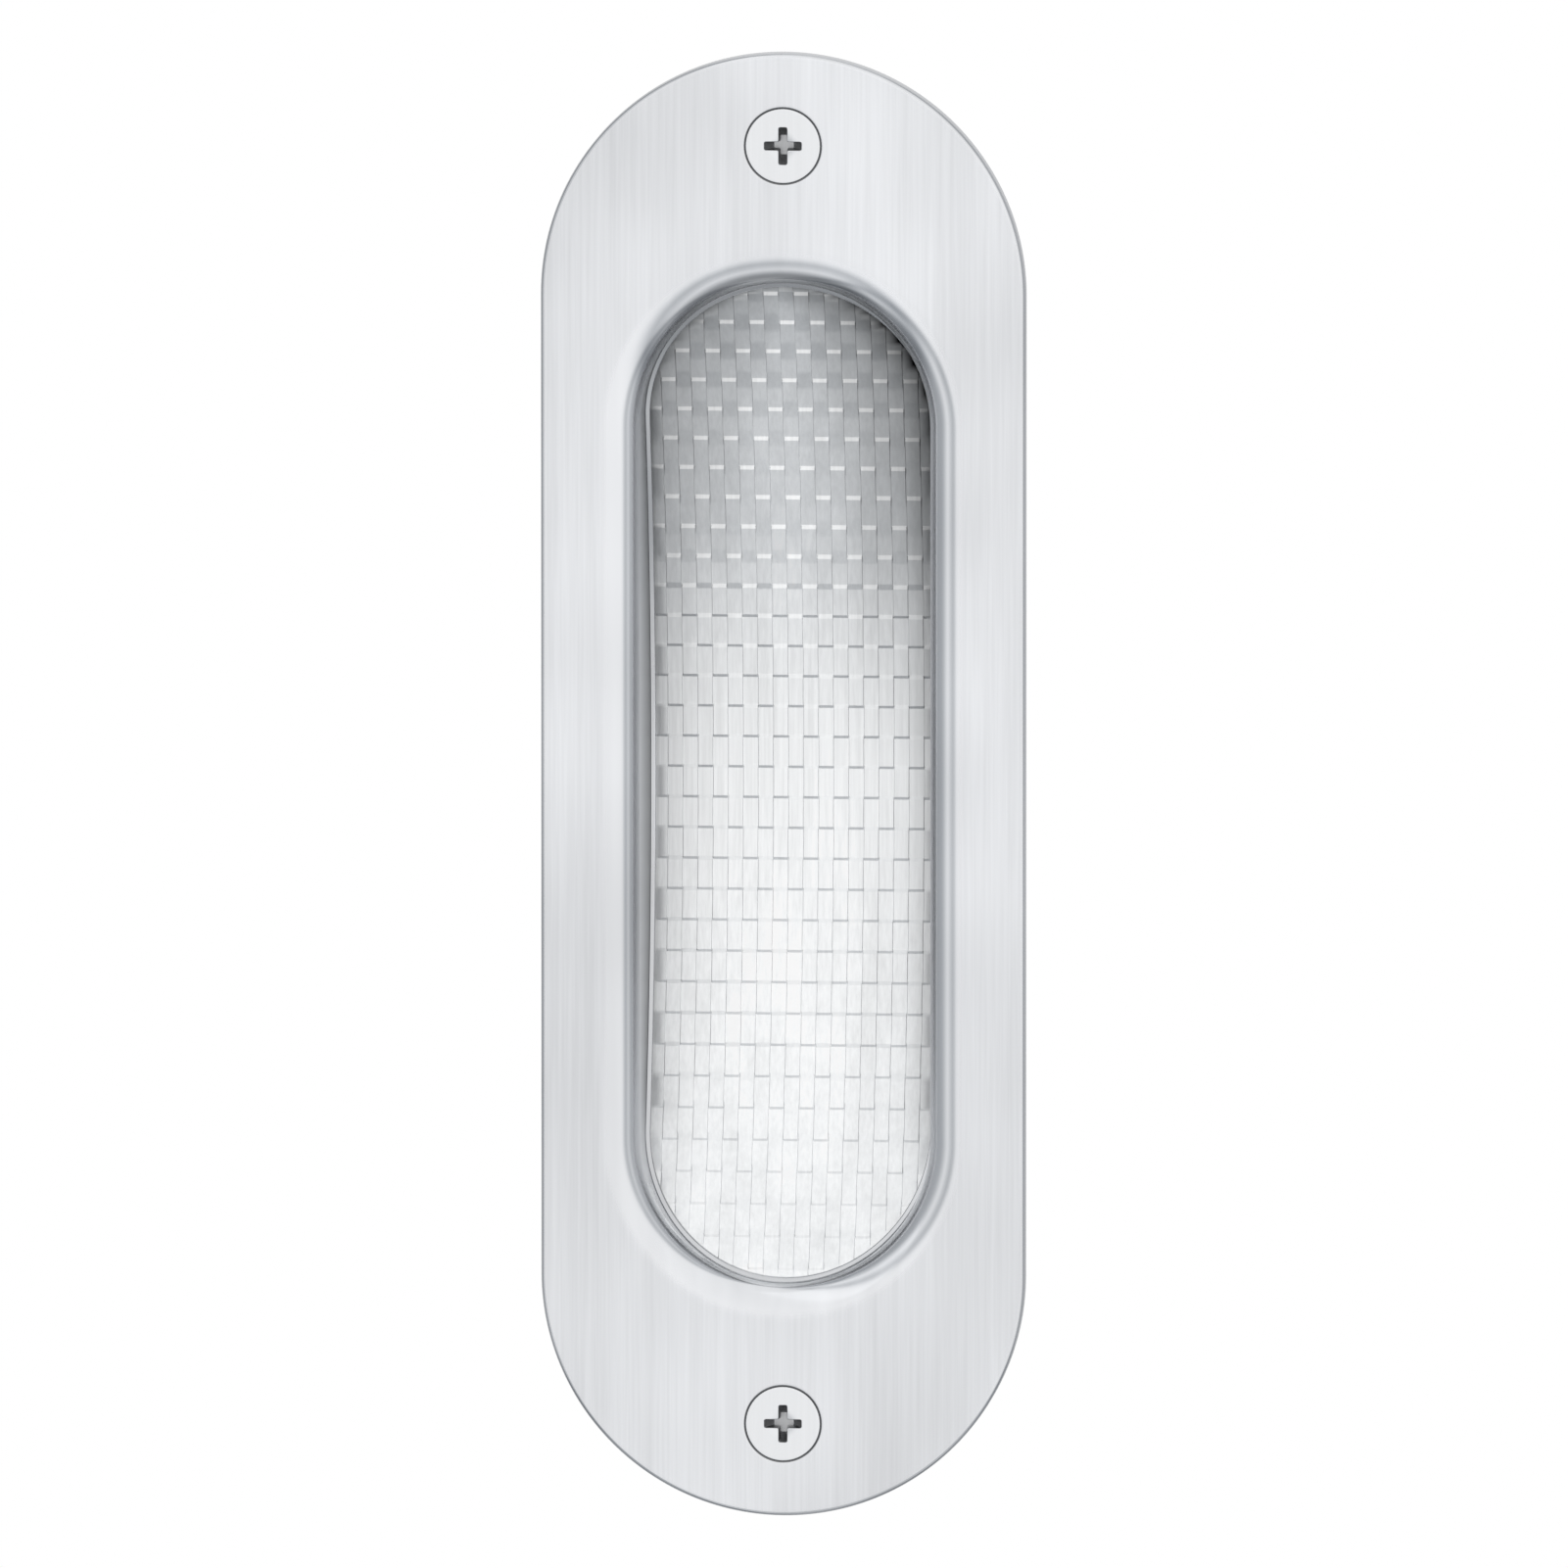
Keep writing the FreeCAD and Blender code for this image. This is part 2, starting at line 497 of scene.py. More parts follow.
# %% Grid lines
gentle_steps = (-0.12, 0.0, 0.12, 0.88, 1.0, 1.12)      # lines on a flank, by its run
steep_steps = (0.0, 1.0, 2.0)
line_spacing = 0.001 * MM       # lines nearer than this are one line


def cell_boundaries(size, first, limit):
    count = math.ceil(limit / size) + 1
    return [(i + first) * size for i in range(-count, count + 1)]


def grid_lines(boundaries, rise, fall, steps, back, limit, extra=()):
    """Lines at each cell boundary, up the flank after it and down the flank before it.

    The flanks start a share of their run back from the boundary.
    """
    lines = {*boundaries, *extra}
    for line in boundaries:
        lines.update(line + (step - back) * rise(line) for step in steps)
        lines.update(line - (step - back) * fall(line) for step in steps)
    kept = [-limit]
    for line in sorted(lines):
        if line - kept[-1] > line_spacing and limit - line > line_spacing:
            kept.append(line)
    return kept + [limit]


lip_line = (0.22, 0.3 * MM)     # the painted shadow line under the lip: its depth and its width
lip_edge = recess_side - lip_width
across = grid_lines(
    cell_boundaries(checker_width, 0.5, grip_high[0]), lambda _: left_slope, lambda _: right_slope,
    steep_steps, back=0.0, limit=grip_high[0],
    extra=(-lip_edge, lip_line[1] - lip_edge, lip_edge - lip_line[1], lip_edge))
along = grid_lines(
    cell_boundaries(checker_length, 0.0, grip_high[2]), lower_run, upper_run,
    gentle_steps, back=astride, limit=grip_high[2])
print(f"grid of {len(across)} by {len(along)} lines")

# %% [markdown]
# ## Grip plate: painted shade
# The grip's colour gets painted shade by how near the lip is: a dark line right under it, for the lip's
# shadow, and a wider band beside that. A veil thickens toward the top, for the shade under the rim.

# %% Painted shade on the grip
left_band = (0.1, 1.5 * MM)     # painted shade and width
right_band = (0.21, 3.0 * MM)
veil_even = 0.07                # painted shade of the veil at the sides, below mid-height,
veil_top = 0.35                 # how much is added toward the top,
veil_right = 1.45               # and how much more of it there is on the right
hood_veil = 0.12                # painted shade under the rim's upper end


# Painted shade on the grip: the lip's shadow line and the band beside it above the lower end, a veil toward
# the sides and the top, and shade under the rim's upper end.
def grip_shade(x, z):
    from_lip = -outside(x, z, lip_edge)
    depth, width = lip_line
    line = depth * (1 - smooth(from_lip / width))
    depth, width = right_band if x > 0 else left_band
    band = depth * (1 - smooth(from_lip / width))
    veil = (veil_even + veil_top * max(z, 0.0) / recess_straight) * max(veil_right * x, -x) / recess_side
    return shade_by_height(z) * (line + band) + veil + hood_veil * hooded(z)


print(f"residue in the middle {grip_shade(0.0, 0.0):.2f}, "
      f"at the right edge {grip_shade(lip_edge, 0.0):.2f}")

# %% [markdown]
# ## Grip plate: the cut grid
# A cell that crosses the outline is cut there, so the sheet's edge is a clean curve and not a staircase. The
# crossing is found by halving the cell's edge until the place is exact. A Boolean would do the same cut, but
# it leaves slivers that show in the reflections.

# %% Cut grid
halvings = 30


def clipped_grid(bm, xs, zs, side):
    """Grid of quads on the arc, cut along an obround."""
    points = {}
    layer = bm.verts.layers.float["residue"]

    def grid_point(i, j):
        if (i, j) not in points:
            x, z = xs[i], zs[j]
            points[i, j] = bm.verts.new((x, scoop_y(base_radius - checker_height(x, z), z), z))
            points[i, j][layer] = grip_shade(x, z)
        return points[i, j]

    def crossing(inner, outer):
        if (inner, outer) not in points:
            near, far = 0.0, 1.0
            start = Vector((xs[inner[0]], zs[inner[1]]))
            step = Vector((xs[outer[0]], zs[outer[1]])) - start
            for _ in range(halvings):
                half = (near + far) / 2
                place = start + half * step
                if outside(place.x, place.y, side) < 0:
                    near = half
                else:
                    far = half
            place = start + near * step
            points[inner, outer] = bm.verts.new((place.x, base_y(place.y), place.y))
        return points[inner, outer]

    kept = [[outside(x, z, side) < -line_spacing for z in zs] for x in xs]
    for i in range(len(xs) - 1):
        for j in range(len(zs) - 1):
            corners = [(i, j), (i + 1, j), (i + 1, j + 1), (i, j + 1)]
            shape = []
            for a, b in zip(corners, corners[1:] + corners[:1]):
                if kept[a[0]][a[1]]:
                    shape.append(grid_point(*a))
                    if not kept[b[0]][b[1]]:
                        shape.append(crossing(a, b))
                elif kept[b[0]][b[1]]:
                    shape.append(crossing(b, a))
            if len(shape) > 2:
                bm.faces.new(shape)


bm = new_sheet()
clipped_grid(bm, across, along, grip_high[0])
print(f"front of the grip: {len(bm.faces)} faces")

# %% [markdown]
# ## Grip plate: edge and back
# The sheet gets its thickness from the border of its front: the border is walked in order, hung with rings
# down the edge, and the last ring is closed by strips from the left side to the right. A Solidify modifier
# would press the checkers through to the back, which is plain on a coined sheet.

# %% Edge and back of the grip plate
grip_edge_round = 0.2 * MM
grip_edge_steps = 4


def outline_loop(bm):
    """The open border of the sheet, in order, starting at its top."""
    beside = {}
    for edge in bm.edges:
        if len(edge.link_faces) == 1:
            a, b = edge.verts
            beside.setdefault(a, []).append(b)
            beside.setdefault(b, []).append(a)
    loop = [max(beside, key=lambda vert: vert.co.z)]
    loop.append(max(beside[loop[0]], key=lambda vert: vert.co.x))
    while True:
        before, here = loop[-2:]
        following = next(vert for vert in beside[here] if vert is not before)
        if following is loop[0]:
            return loop
        loop.append(following)


def sheet_back(bm, loop):
    """Edge and back of the sheet, hung from the border of its front."""
    path = []
    for vert in loop:
        x, z = vert.co.x, vert.co.z
        beyond = math.copysign(max(abs(z) - recess_straight, 0.0), z)
        out = Vector((x, beyond)).normalized()
        path.append((x, z, out.x, out.y))
    rings = [loop]
    for turn in quarter(grip_edge_steps):
        radius = base_radius + grip_thickness - grip_edge_round * (1 - math.sin(turn))
        rings.append(ring(bm, path, grip_edge_round * (math.cos(turn) - 1),
                          lambda _, ring_z: scoop_y(radius, ring_z)))
    skin(bm, rings)
    last = rings[-1]
    for i in range(len(last) // 2):
        right, left = last[i:i + 2], [last[-i % len(last)], last[-i - 1]]
        corners = list(dict.fromkeys((right[0], right[1], left[1], left[0])))
        if len(corners) > 2:
            bm.faces.new(corners)


sheet_back(bm, outline_loop(bm))
grip_plate = finish_piece(bm, "grip_plate_coined", "grip_plate", sharp_degrees=50)

# %% [markdown]
# ## Screws: the cross recess
# Two countersunk wood screws hold the pull. A driver's cross recess is punched into each head: a cross at
# the surface, a smaller cross at its floor, and sloped walls between them. The punch blunts the inner
# corners and rounds the tips, so the outline has a few more corners than a plain cross.

# %% Cross recess
cross_corner = (0.62, 0.52)     # inner corner, by the arm's width
cross_tip = ((0.9, 0.5), (0.975, 0.44), (1.0, 0.3))     # rounded tip, by the arm's reach and width
cross_span = 3.05 * MM
cross_arm = 0.68 * MM
cross_floor_span = 1.6 * MM
cross_floor_arm = 0.56 * MM
cross_depth = 1.25 * MM
cross_round = 0.05 * MM


def cross_loop(bm, span, arm, y, middle_z, residue):
    """Outline of a cross, as one arm's outline turned four times."""
    layer = bm.verts.layers.float["residue"]
    half_arm = [(cross_corner[0] * arm, cross_corner[1] * arm)]
    half_arm += [(reach * span / 2, width * arm) for reach, width in cross_tip]
    whole_arm = half_arm + [(x, -z) for x, z in reversed(half_arm)]
    loop = []
    for turn in range(4):
        c, s = math.cos(-turn * math.pi / 2), math.sin(-turn * math.pi / 2)
        for x, z in whole_arm:
            loop.append(bm.verts.new((x * c - z * s, y, middle_z + x * s + z * c)))
            loop[-1][layer] = residue
    return loop


def cross_recess(bm, middle_z):
    """Recess from its rounded brim down to its floor. Gives the loop at the head's face."""
    # The recess gets painted shade for the shade inside it: full on its brim and walls, a little less on its
    # floor, none at the head's face.
    mouth = cross_loop(bm, cross_span + 2 * cross_round, cross_arm + 2 * cross_round, front, middle_z, 0.0)
    brim = cross_loop(bm, cross_span, cross_arm, front + cross_round, middle_z, 1.0)
    floor = cross_loop(bm, cross_floor_span, cross_floor_arm, front + cross_depth, middle_z, 0.6)
    skin(bm, [mouth, brim, floor])
    fill_flat(bm, [floor])
    return mouth


# %% [markdown]
# ## Screws: the thread
# From the front only the heads show, but the part is looked at from behind too, so the shanks get their
# thread. The radius of a shank follows a saw that moves on by one pitch per turn, and shrinks to nothing
# along the point. The Screw modifier could sweep a tooth in the same way, but it makes no point at the end.

# %% Thread
shank_radius = 1.5 * MM         # over the thread
core_radius = 1.0 * MM          # and under it
neck_radius = 1.1 * MM
screw_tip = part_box("fixing_screws")[1][1]
screw_point = 3.5 * MM
thread_pitch = 1.35 * MM
thread_start = 1.6 * MM
tooth_side = 0.3                # half of a tooth's foot, by the pitch
tooth_fade = 0.6                # under 1, the teeth keep their height longer than the core along the point


def thread_radius(y, turn):
    """Radius of the shank at a depth and an angle."""
    to_tip = min((screw_tip - y) / screw_point, 1.0)
    phase = (y / thread_pitch - turn / (2 * math.pi)) % 1.0
    tooth = max(0.0, 1 - abs(phase - 0.5) / tooth_side)
    rise = smooth((y - thread_start) / thread_pitch)
    radius = neck_radius + (core_radius - neck_radius) * rise
    if to_tip < 1:
        radius = min(radius, core_radius * to_tip)
    return radius + rise * tooth * (shank_radius - core_radius) * to_tip ** tooth_fade


print(f"thread on {(screw_tip - thread_start) / MM:.1f} mm of each screw")

# %% [markdown]
# ## Screws: lathe
# The whole screw is a lathe: rings of points about its axis, from the rounded edge of the head down the cone
# and the neck to the tip. The head's face is filled between its edge and the cross.

# %% Screws
head_round = 0.06 * MM
head_steps = 4
thread_steps = 150
lathe_stations = 64


def screw(bm, middle_z):
    circle = circle_path(1.0, lathe_stations, 0.0)

    def lathe_ring(y, radius):
        """Ring about the screw's axis. The radius may be a function of the angle."""
        loop = []
        for i, (x, z, _, _) in enumerate(circle):
            reach = value_at(radius, 2 * math.pi * i / lathe_stations)
            loop.append(bm.verts.new((reach * x, y, middle_z + reach * z)))
        return loop

    cone_end = front + head_land + head_radius - neck_radius
    rings = [lathe_ring(front, head_radius - head_round - support)]
    for turn in quarter(head_steps):
        rings.append(lathe_ring(front + head_round * (1 - math.cos(turn)),
                                head_radius - head_round * (1 - math.sin(turn))))
    rings += [lathe_ring(front + head_land, head_radius), lathe_ring(cone_end, neck_radius)]
    for i in range(1, thread_steps):
        y = cone_end + (screw_tip - cone_end) * i / thread_steps
        rings.append(lathe_ring(y, lambda turn: thread_radius(y, turn)))
    skin(bm, rings)
    tip = bm.verts.new((0, screw_tip, middle_z))
    for a, b in zip(rings[-1], rings[-1][1:] + rings[-1][:1]):
        bm.faces.new((a, b, tip))
    fill_flat(bm, [rings[0], cross_recess(bm, middle_z)])


bm = new_sheet()
for side in (-1, 1):
    screw(bm, side * screw_height)
fixing_screws = finish_piece(bm, "fixing_screws_threaded", "fixing_screws", sharp_degrees=35)

# %% [markdown]
# ## Node helpers
# Shaders are built from many small nodes. Three helpers keep that readable: one adds a socket to a group,
# one a math node, and one a node that maps a range of values to another.

# %% Node helpers
def socket(group, name, direction, value=None):
    made = group.interface.new_socket(name=name, in_out=direction, socket_type="NodeSocketFloat")
    if value is not None:
        made.default_value = value


def math_node(tree, operation, first, second):
    """Output of a new math node. Its two inputs are numbers or other nodes' outputs."""
    node = tree.nodes.new("ShaderNodeMath")
    node.operation = operation
    for value, target in zip((first, second), node.inputs):
        if isinstance(value, (int, float)):
            target.default_value = value
        else:
            tree.links.new(value, target)
    return node.outputs[0]


def map_range(tree, value, start, end, to=(0.0, 1.0)):
    """Output of a new node that maps values from start to end onto another range, and holds them there."""
    node = tree.nodes.new("ShaderNodeMapRange")
    for name, number in zip(("From Min", "From Max", "To Min", "To Max"), (start, end, *to)):
        node.inputs[name].default_value = number
    tree.links.new(value, node.inputs["Value"])
    return node.outputs[0]


# %% [markdown]
# ## Brushed grain
# The satin comes from a belt that ran lengthwise: hairlines a fraction of a millimetre wide and many
# millimetres long, over soft streaks and a faint cloudiness. All three pieces show it, so it is one node
# group. Each layer is noise stretched along Z. The group puts out a height for the hairlines, a tone that
# shifts the colour a little, and a shift for the roughness. A scratch picture could do the same, but it
# would repeat.

# %% Node group for the grain
hairline_mm = (0.28, 14.0)      # width and length of a typical mark
streak_mm = (2.6, 90.0)
cloud_mm = (24.0, 36.0)
cloud_start = (17.4, 16.5, 29.6)    # chosen for where the brighter clouds come to lie
hairline_tone = 0.8                 # how much hairlines count in the tone
grain_roughness = 0.55


def stretched_noise(tree, place, mark_mm, detail, start=(0.0, 0.0, 0.0)):
    """Noise about zero whose marks are longer than wide."""
    width, length = mark_mm
    stretch = tree.nodes.new("ShaderNodeVectorMath")
    stretch.operation = "MULTIPLY_ADD"
    stretch.inputs[1].default_value = (1 / (width * MM), 1 / (width * MM), 1 / (length * MM))
    stretch.inputs[2].default_value = start
    tree.links.new(place, stretch.inputs[0])
    noise = tree.nodes.new("ShaderNodeTexNoise")
    noise.inputs["Scale"].default_value = 1.0
    noise.inputs["Detail"].default_value = detail
    noise.inputs["Roughness"].default_value = grain_roughness
    tree.links.new(stretch.outputs[0], noise.inputs["Vector"])
    return math_node(tree, "SUBTRACT", noise.outputs[0], 0.5)


def grain_group():
    group = bpy.data.node_groups.new("Lengthwise brushing", "ShaderNodeTree")
    for name in ("Hairline depth", "Streak depth", "Cloud depth"):
        socket(group, name, "INPUT", value=1.0)
    for name in ("Height", "Tone", "Roughness shift"):
        socket(group, name, "OUTPUT")
    inlet = group.nodes.new("NodeGroupInput")
    outlet = group.nodes.new("NodeGroupOutput")
    place = group.nodes.new("ShaderNodeTexCoord").outputs["Object"]
    hairline = stretched_noise(group, place, hairline_mm, detail=3.0)
    streak = stretched_noise(group, place, streak_mm, detail=2.0)
    cloud = stretched_noise(group, place, cloud_mm, detail=2.0, start=cloud_start)
    hairline = math_node(group, "MULTIPLY", hairline, inlet.outputs["Hairline depth"])
    streak = math_node(group, "MULTIPLY", streak, inlet.outputs["Streak depth"])
    cloud = math_node(group, "MULTIPLY", cloud, inlet.outputs["Cloud depth"])
    tone = math_node(group, "ADD", streak, cloud)
    tone = math_node(group, "ADD", tone, math_node(group, "MULTIPLY", hairline, hairline_tone))
    group.links.new(hairline, outlet.inputs["Height"])
    group.links.new(tone, outlet.inputs["Tone"])
    group.links.new(streak, outlet.inputs["Roughness shift"])
    return group


grain = grain_group()
print("grain group:", [item.name for item in grain.interface.items_tree])

# %% [markdown]
# ## Satin steel: colour
# Steel's colour is the colour of its reflection. The grain makes it a little lighter or darker, and the
# painted shade that the points carry darkens it where shade falls: in hollows, in corners and under the rim.

# %% Colour of the steel
def steel_colour(tree, brushing, tint, tone_depth, shade_depth):
    tone = math_node(tree, "MULTIPLY", brushing.outputs["Tone"], tone_depth)
    tone = math_node(tree, "ADD", tone, 1.0)
    # The points' painted shade darkens the colour where shade falls.
    residue = tree.nodes.new("ShaderNodeAttribute")
    residue.attribute_name = "residue"
    shade_factor = math_node(tree, "MULTIPLY", residue.outputs["Fac"], -shade_depth)
    shade_factor = math_node(tree, "ADD", shade_factor, 1.0)
    colour = tree.nodes.new("ShaderNodeVectorMath")
    colour.operation = "SCALE"
    colour.inputs[0].default_value = tint
    tree.links.new(math_node(tree, "MULTIPLY", tone, shade_factor), colour.inputs["Scale"])
    return colour.outputs[0]


# %% [markdown]
# ## Satin steel: roughness
# Faces that look to the front are satin from the belt. Where the sheet was drawn over a punch, on the roll,
# it is burnished, and the roughness falls as soon as the normal leaves the front direction. The walls are
# dull as drawn, apart from the lower end, which faces up and was polished. So the roughness follows the
# normal, and no face has to be marked by hand.

# %% Roughness of the steel
front_direction = (0.0, -1.0, 0.0)
flat_to = 0.9995                # facing of a face that counts as flat
wall_facing = (0.45, 0.75)      # below the first a face counts as a wall, above the second it doesn't
wall_dullness = 0.3             # roughness added on walls
upward_full = 0.5               # from this part of the normal on, a face counts as facing up
streak_roughness = 0.12


def height_of(tree, vector):
    """The Z part of a vector."""
    parts = tree.nodes.new("ShaderNodeSeparateXYZ")
    tree.links.new(vector, parts.inputs[0])
    return parts.outputs["Z"]


def steel_roughness(tree, brushing, rough, burnished, flat_from):
    """Roughness by how a face lies. The hairlines fade with the satin."""
    place = tree.nodes.new("ShaderNodeTexCoord").outputs["Object"]
    normal = tree.nodes.new("ShaderNodeNewGeometry").outputs["True Normal"]
    dot = tree.nodes.new("ShaderNodeVectorMath")
    dot.operation = "DOT_PRODUCT"
    dot.inputs[1].default_value = front_direction
    tree.links.new(normal, dot.inputs[0])
    facing = dot.outputs["Value"]

    flat = map_range(tree, facing, flat_from, flat_to)
    tree.links.new(flat, brushing.inputs["Hairline depth"])
    satin = math_node(tree, "MULTIPLY", flat, rough - burnished)
    satin = math_node(tree, "ADD", satin, burnished)

    steep = map_range(tree, facing, *wall_facing, to=(wall_dullness, 0.0))
    low = map_range(tree, height_of(tree, place), shade_and_dull_high, shade_and_dull_low)
    upward = map_range(tree, height_of(tree, normal), 0.0, upward_full)
    unreached = math_node(tree, "SUBTRACT", 1.0, math_node(tree, "MULTIPLY", low, upward))
    dull = math_node(tree, "MULTIPLY", steep, unreached)
    shift = math_node(tree, "MULTIPLY", brushing.outputs["Roughness shift"], streak_roughness)
    return math_node(tree, "ADD", satin, math_node(tree, "ADD", shift, dull))


# %% [markdown]
# ## Satin steel: three finishes
# One recipe makes the three finishes. Brushing along Z spreads a reflection across X, so the shader is
# anisotropic with its tangent across the plate. The face plate is brushed and its roll burnished. The coined
# grip is evenly satin, and its colour is painted brighter to make up for the light that the recess's walls
# keep from it. The screw heads are turned, with hardly any grain.

# %% Materials
across_the_brushing = (1.0, 0.3, 0.06)
hairline_bump = 0.25
hairline_height = 0.02 * MM


def satin_steel(name, tint, tone_depth, cloud_depth, shade_depth, rough, burnished, flat_from, anisotropy):
    material = bpy.data.materials.new(name)
    material.use_nodes = True
    tree = material.node_tree
    shader = tree.nodes["Principled BSDF"]
    shader.inputs["Metallic"].default_value = 1.0
    shader.inputs["Anisotropic"].default_value = anisotropy
    tangent = tree.nodes.new("ShaderNodeCombineXYZ")
    for axis, value in zip("XYZ", across_the_brushing):
        tangent.inputs[axis].default_value = value
    brushing = tree.nodes.new("ShaderNodeGroup")
    brushing.node_tree = grain
    brushing.inputs["Cloud depth"].default_value = cloud_depth
    bump = tree.nodes.new("ShaderNodeBump")
    bump.inputs["Strength"].default_value = hairline_bump
    bump.inputs["Distance"].default_value = hairline_height
    tree.links.new(brushing.outputs["Height"], bump.inputs["Height"])
    colour = steel_colour(tree, brushing, tint, tone_depth, shade_depth)
    roughness = steel_roughness(tree, brushing, rough, burnished, flat_from)
    tree.links.new(colour, shader.inputs["Base Color"])
    tree.links.new(roughness, shader.inputs["Roughness"])
    tree.links.new(tangent.outputs[0], shader.inputs["Tangent"])
    tree.links.new(bump.outputs[0], shader.inputs["Normal"])
    return material


finishes = (
    (face_plate, "face_steel", dict(
        tint=(0.775, 0.785, 0.805), tone_depth=0.24, cloud_depth=2.6, shade_depth=0.78,
        rough=0.34, burnished=0.14, flat_from=0.985, anisotropy=0.6)),
    # The grip's tint is painted nearly white, brighter than steel, to make up for the light that the recess's
    # walls keep from it.
    (grip_plate, "grip_steel", dict(
        tint=(0.965, 0.975, 0.98), tone_depth=0.38, cloud_depth=0.3, shade_depth=1.0,
        rough=0.38, burnished=0.38, flat_from=0.6, anisotropy=0.58)),
    (fixing_screws, "screw_steel", dict(
        tint=(0.835, 0.845, 0.86), tone_depth=0.1, cloud_depth=0.5, shade_depth=0.75,
        rough=0.34, burnished=0.3, flat_from=0.985, anisotropy=0.3)),
)
for piece, slot_name, recipe in finishes:
    piece.data.materials.append(satin_steel(slot_name, **recipe))
    print("finish:", piece.name, slot_name)

# %% [markdown]
# ## Light tent: what the steel mirrors
# Bright metal looks like what is around it. In a tent that is white cloth with softer, darker places,
# such as gaps between its panels. Two lists say how bright the tent is round the pull and from its floor
# to its roof, and their product gives each direction. The dark stripes along the roll come from the first
# list, the shade in the upper half of the scoop from the second. Shaded cloth is a little blue. Real
# panels round the object would do the same, but each would need its own place, size and light.

# %% The tent's brightness
tent_round = (      # azimuth in degrees, right of the front, and how bright the tent is there
    (-180, 0.95), (-140, 0.92), (-118, 0.75), (-100, 0.5), (-85, 0.42), (-68, 0.46), (-61, 0.55), (-55, 0.72),
    (-49, 0.9), (-44, 0.8), (-38, 0.6), (-33, 0.5), (-29, 0.8), (-25, 0.98), (43, 1.0), (49, 0.96),
    (55, 0.64), (61, 0.53), (68, 0.77), (77, 0.55), (86, 0.43), (98, 0.56), (112, 0.7), (130, 0.88),
    (180, 0.95),
)
tent_rise = (       # elevation in degrees, and how bright the tent is there
    (-90, 0.72), (-82, 0.64), (-75, 0.5), (-64, 0.48), (-55, 0.66), (-48, 0.82), (-41, 0.67), (-34, 0.57),
    (-28, 0.77), (-22, 0.95), (-15, 1.0), (-7, 1.0), (4, 1.02), (21, 0.99), (39, 0.97),
    (61, 0.95), (90, 0.94),
)
shade_tint = (0.87, 0.93, 1.0)


def brightness_ramp(tree, angle, half_range, stops):
    """Colour for an angle, from a list of degrees and brightness."""
    ramp = tree.nodes.new("ShaderNodeValToRGB")
    elements = ramp.color_ramp.elements
    while len(elements) < len(stops):
        elements.new(1.0)
    for element, (degrees, bright) in zip(elements, stops):
        element.position = (degrees + half_range) / (2 * half_range)
        element.color = (*(bright * (bright + (1 - bright) * part) for part in shade_tint), 1)
    limit = math.radians(half_range)
    tree.links.new(map_range(tree, angle, -limit, limit), ramp.inputs["Fac"])
    return ramp.outputs[0]


def tent_colour(tree):
    """Colour of the tent in the direction of a ray."""
    direction = tree.nodes.new("ShaderNodeSeparateXYZ")
    tree.links.new(tree.nodes.new("ShaderNodeTexCoord").outputs["Generated"], direction.inputs[0])
    forward = math_node(tree, "MULTIPLY", direction.outputs["Y"], -1.0)
    azimuth = math_node(tree, "ARCTAN2", direction.outputs["X"], forward)
    elevation = math_node(tree, "ARCSINE", direction.outputs["Z"], 0.0)
    panels = tree.nodes.new("ShaderNodeVectorMath")
    panels.operation = "MULTIPLY"
    tree.links.new(brightness_ramp(tree, azimuth, 180, tent_round), panels.inputs[0])
    tree.links.new(brightness_ramp(tree, elevation, 90, tent_rise), panels.inputs[1])
    return panels.outputs[0]


print(f"darkest place round the pull {min(bright for _, bright in tent_round)}, "
      f"from floor to roof {min(bright for _, bright in tent_rise)}")

# %% [markdown]
# ## Light tent: the world
# The world shows a different light to each kind of ray. The camera sees plain white, rays that the steel
# mirrors see the tent, and everything else gets an even light.

# %% World
tent_level = 1.06
even_level = 0.5


def background(tree, strength, colour=None):
    light = tree.nodes.new("ShaderNodeBackground")
    light.inputs["Color"].default_value = (1, 1, 1, 1)
    light.inputs["Strength"].default_value = strength
    if colour is not None:
        tree.links.new(colour, light.inputs["Color"])
    return light.outputs[0]


def choose(tree, switch, otherwise, chosen):
    """One of two shaders, by a switch of 0 or 1."""
    mix = tree.nodes.new("ShaderNodeMixShader")
    for value, target in zip((switch, otherwise, chosen), mix.inputs):
        tree.links.new(value, target)
    return mix.outputs[0]


def tent_world():
    world = bpy.data.worlds.new("light tent")
    world.use_nodes = True
    tree = world.node_tree
    tree.nodes.clear()
    ray = tree.nodes.new("ShaderNodeLightPath").outputs
    mirrored = math_node(tree, "MAXIMUM", ray["Is Glossy Ray"], ray["Is Transmission Ray"])
    tent = background(tree, tent_level, tent_colour(tree))
    lit = choose(tree, mirrored, background(tree, even_level), tent)
    seen = choose(tree, ray["Is Camera Ray"], lit, background(tree, 1.0))
    tree.links.new(seen, tree.nodes.new("ShaderNodeOutputWorld").inputs["Surface"])
    return world


bpy.context.scene.world = tent_world()
print("world:", bpy.context.scene.world.name)

# %% [markdown]
# ## Floor
# A pale disc far below the pull closes the tent for views from above. The steel doesn't mirror it, because
# the tent's list already holds the floor: for rays from a glossy face the disc is transparent.

# %% Floor
floor_height = -0.3
floor_radius = 0.55
floor_colour = (0.8, 0.81, 0.82, 1)


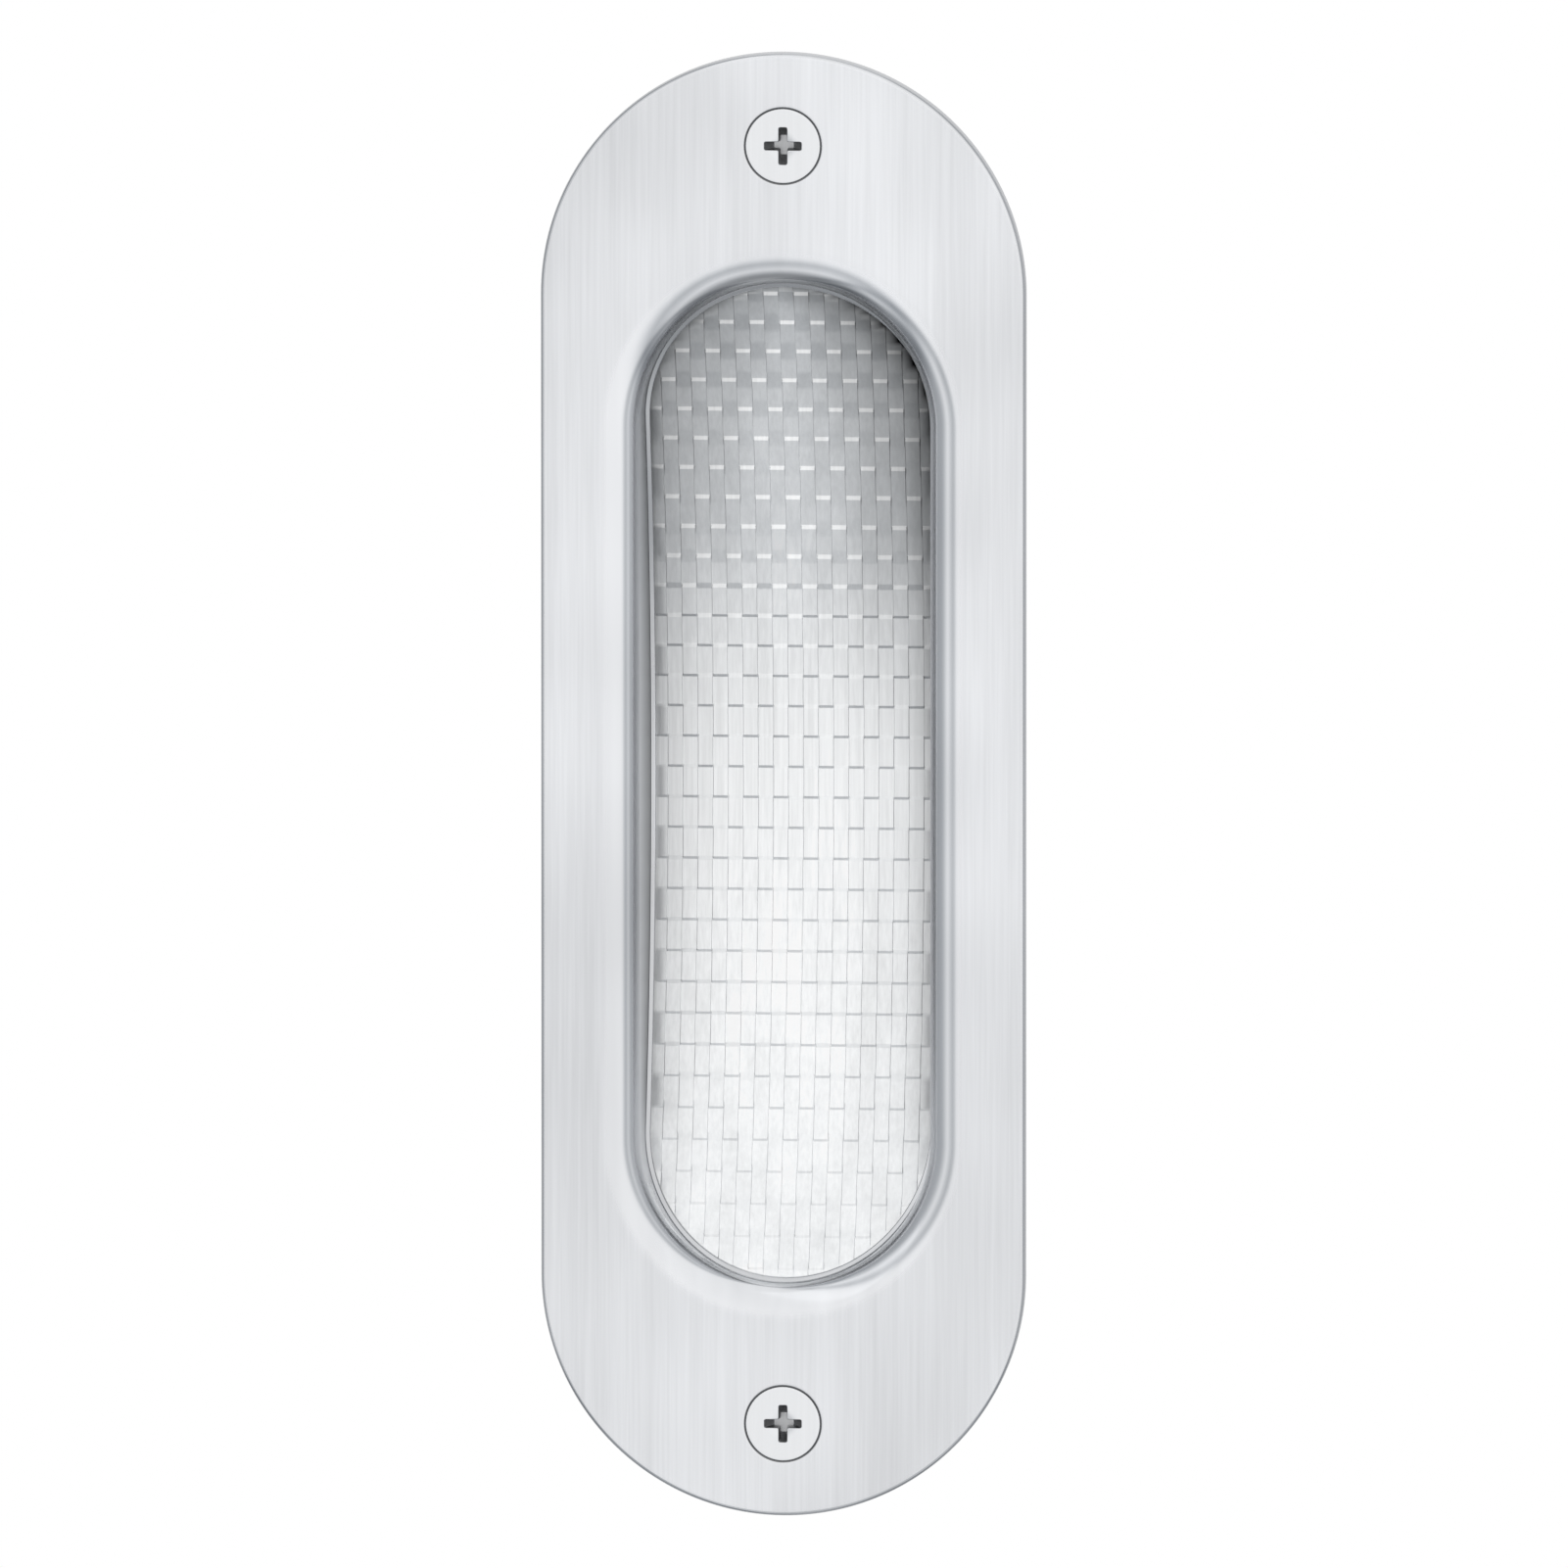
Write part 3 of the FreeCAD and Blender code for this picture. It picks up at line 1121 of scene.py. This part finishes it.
def pale_floor():
    mesh = bpy.data.meshes.new("floor")
    bm = bmesh.new()
    bmesh.ops.create_circle(bm, cap_ends=True, radius=floor_radius, segments=96)
    bm.to_mesh(mesh)
    bm.free()
    paint = bpy.data.materials.new("pale floor")
    paint.use_nodes = True
    tree = paint.node_tree
    shader = tree.nodes["Principled BSDF"]
    shader.inputs["Base Color"].default_value = floor_colour
    shader.inputs["Roughness"].default_value = 0.9
    mirrored = tree.nodes.new("ShaderNodeLightPath").outputs["Is Glossy Ray"]
    clear = tree.nodes.new("ShaderNodeBsdfTransparent").outputs[0]
    surface = choose(tree, mirrored, shader.outputs[0], clear)
    tree.links.new(surface, tree.nodes["Material Output"].inputs["Surface"])
    mesh.materials.append(paint)
    floor = bpy.data.objects.new("floor", mesh)
    floor.location.z = floor_height
    bpy.context.scene.collection.objects.link(floor)
    return floor


print("stage:", pale_floor().name)

# %% [markdown]
# ## Lamp
# The tent alone gives an even light. One large, weak lamp from the upper left adds a direction to it, which
# shows on the flange's edge and on the roll.

# %% Lamp
key_place = (-0.55, -0.75, 0.75)
key_size = 1.0
key_power = 0.4


def soft_lamp():
    lamp = bpy.data.lights.new("key", "AREA")
    lamp.shape = "RECTANGLE"
    lamp.size = lamp.size_y = key_size
    lamp.energy = key_power
    holder = bpy.data.objects.new("key", lamp)
    holder.location = key_place
    holder.rotation_euler = (-Vector(key_place)).to_track_quat("-Z", "Y").to_euler()
    bpy.context.scene.collection.objects.link(holder)
    return holder


print("lamp:", soft_lamp().name)

# %% [markdown]
# ## Camera
# The picture was taken almost square on, from a little above and to the right: the recess's left wall shows
# and its right wall doesn't. A long lens far away keeps the plate's edges parallel.

# %% Camera
view_azimuth = math.radians(4.8)
view_elevation = math.radians(7.0)
camera_distance = 4.0
frame_width = 129.1 * MM
aim = Vector((0.1 * MM, front, 0.17 * MM))


def place_camera():
    lens = bpy.data.cameras.new("camera")
    lens.lens = lens.sensor_width * camera_distance / frame_width
    camera = bpy.data.objects.new("camera", lens)
    level = math.cos(view_elevation)
    back = Vector((math.sin(view_azimuth) * level, -math.cos(view_azimuth) * level, math.sin(view_elevation)))
    camera.location = aim + camera_distance * back
    camera.rotation_euler = (-back).to_track_quat("-Z", "Y").to_euler()
    bpy.context.scene.collection.objects.link(camera)
    return camera


bpy.context.scene.camera = place_camera()
bpy.context.scene.view_settings.view_transform = "Standard"
print(f"lens {bpy.context.scene.camera.data.lens:.0f} mm")
